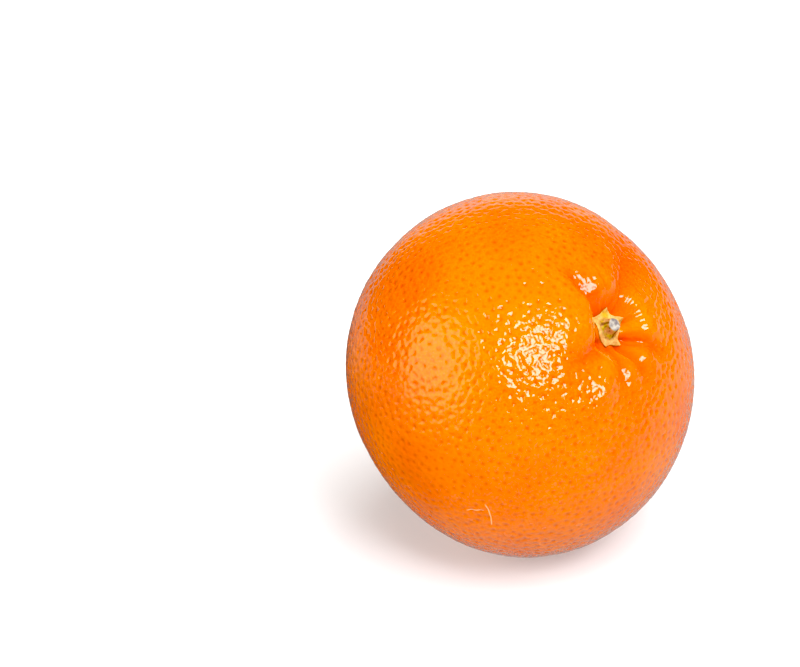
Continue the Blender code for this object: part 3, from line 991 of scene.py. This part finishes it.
# %% How the picture is developed
BLACK_LEVEL = 0.045
scene = bpy.context.scene
scene.view_settings.view_transform = "Standard"
scene.view_settings.use_curve_mapping = True
scene.view_settings.curve_mapping.black_level = (BLACK_LEVEL, BLACK_LEVEL, BLACK_LEVEL)
print("colours are shown with the", scene.view_settings.view_transform, "view")

# %% The world
FILL = 0.16  # strength of the even light
BACK_WALL, BACK_WALL_PLACE = 0.7, (0.76, 0.64, -0.11)  # mirrored strength, and direction from the fruit
SIDE_GLOW, SIDE_GLOW_PLACE = 2.8, direction_to(-106.0, 24.0)

scene.world = bpy.data.worlds.new("white_walls")
scene.world.use_nodes = True
walls = scene.world.node_tree
toward = add_node(walls, "TexCoord", {}, "Generated")
behind = add_node(walls, "VectorMath", {0: toward, 1: BACK_WALL_PLACE}, "Value", operation="DOT_PRODUCT")
beside = add_node(walls, "VectorMath", {0: toward, 1: SIDE_GLOW_PLACE}, "Value", operation="DOT_PRODUCT")
back_range = {"From Min": 0.80, "From Max": 0.98, "To Max": BACK_WALL}
back = add_node(walls, "MapRange", {"Value": behind, **back_range})
side = add_node(walls, "MapRange", {"Value": beside, "From Min": 0.82, "From Max": 0.98})
mirrored = add_node(walls, "Math", {0: side, 1: SIDE_GLOW, 2: back}, operation="MULTIPLY_ADD")
for_diffuse = add_node(walls, "LightPath", {}, "Is Diffuse Ray")
for_glossy = add_node(walls, "LightPath", {}, "Is Glossy Ray")
for_camera = add_node(walls, "LightPath", {}, "Is Camera Ray")
unseen = add_node(walls, "Mix", {0: for_diffuse, 2: mirrored, 3: FILL})
warm = add_node(walls, "Math", {0: side, 1: for_glossy}, operation="MULTIPLY")
fill_sockets(walls, walls.nodes["Background"], {
    "Strength": add_node(walls, "Mix", {0: for_camera, 2: unseen, 3: 1.0}),
    "Color": lay_over(walls, "#ffffff", "#ffe4b0", warm, 0.0, 1.0),
})
print("world:", scene.world.name)

# %% [markdown]
# ## Softboxes
#
# Three softboxes light the fruit. The key is over the camera's right shoulder and makes the broken
# highlight on the shoulder. It is fairly small, so that the highlight's islands stay bright and apart.
# A warm one stands low on the left and a large one hangs overhead. These two are kept out of mirrored
# rays: they model the fruit's roundness, and would otherwise put two more highlights on it.

# %% Softboxes, placed by azimuth and elevation like the camera
SOFTBOX_DISTANCE = 1.0  # in metres
fruit_centre = Vector(centre) * MM


def softbox(name, azimuth, elevation, side, power, tint="#ffffff", mirrored=True):
    """A square lamp that faces the fruit, with its side in metres and its power in watts."""
    lamp = bpy.data.lights.new(name, "AREA")
    lamp.shape = "SQUARE"
    lamp.size = side
    lamp.energy = power
    lamp.color = paint(tint)[:3]
    made = bpy.data.objects.new(name, lamp)
    scene.collection.objects.link(made)
    back = direction_to(azimuth, elevation)
    made.location = fruit_centre + back * SOFTBOX_DISTANCE
    made.rotation_euler = back.to_track_quat("Z", "Y").to_euler()
    made.visible_glossy = mirrored
    print(name, "of", side, "m at", power, "W")


softbox("key_softbox", -20.0, 41.5, 0.43, 4.6, "#f8f4ff")
softbox("side_softbox", -113.0, 15.0, 0.70, 2.6, "#ffecc8", mirrored=False)
softbox("top_softbox", 8.0, 70.0, 1.2, 26.0, mirrored=False)

# %% [markdown]
# ## The camera
#
# The camera stands 62 cm from the fruit, well above the table, and looks a little past it, so that
# the fruit sits right of the middle. A long lens keeps its outline true.

# %% Camera
VIEW_AZIMUTH, VIEW_ELEVATION = -51.0, 28.0
VIEW_DISTANCE = 0.62
LENS = 153.7
AIM_RIGHT, AIM_UP = 0.0353045, -0.0111534  # the fruit's place beside the middle of the view, as slopes

camera_data = bpy.data.cameras.new("camera")
camera_data.lens = LENS
camera = bpy.data.objects.new("camera", camera_data)
scene.collection.objects.link(camera)
scene.camera = camera
back = direction_to(VIEW_AZIMUTH, VIEW_ELEVATION)
camera.location = fruit_centre + back * VIEW_DISTANCE
level = back.to_track_quat("Z", "Y").to_matrix()
aim = level @ Vector((-AIM_RIGHT, -AIM_UP, -1.0)).normalized()
camera.rotation_euler = (-aim).to_track_quat("Z", "Y").to_euler()
print("camera at", [round(x, 3) for x in camera.location])

# %% [markdown]
# ## Handing over
#
# Each piece rides on the frame's one body and stands in for the solid that it dresses, which is hidden.

# %% Last: what rides where
parts = ((peel, "fruit", "peel"), (calyx, "calyx", "dry_calyx"), (stem, "stem", "stem_bark"))
for piece, node, slot in parts:
    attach(piece, "root")
    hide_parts(node)
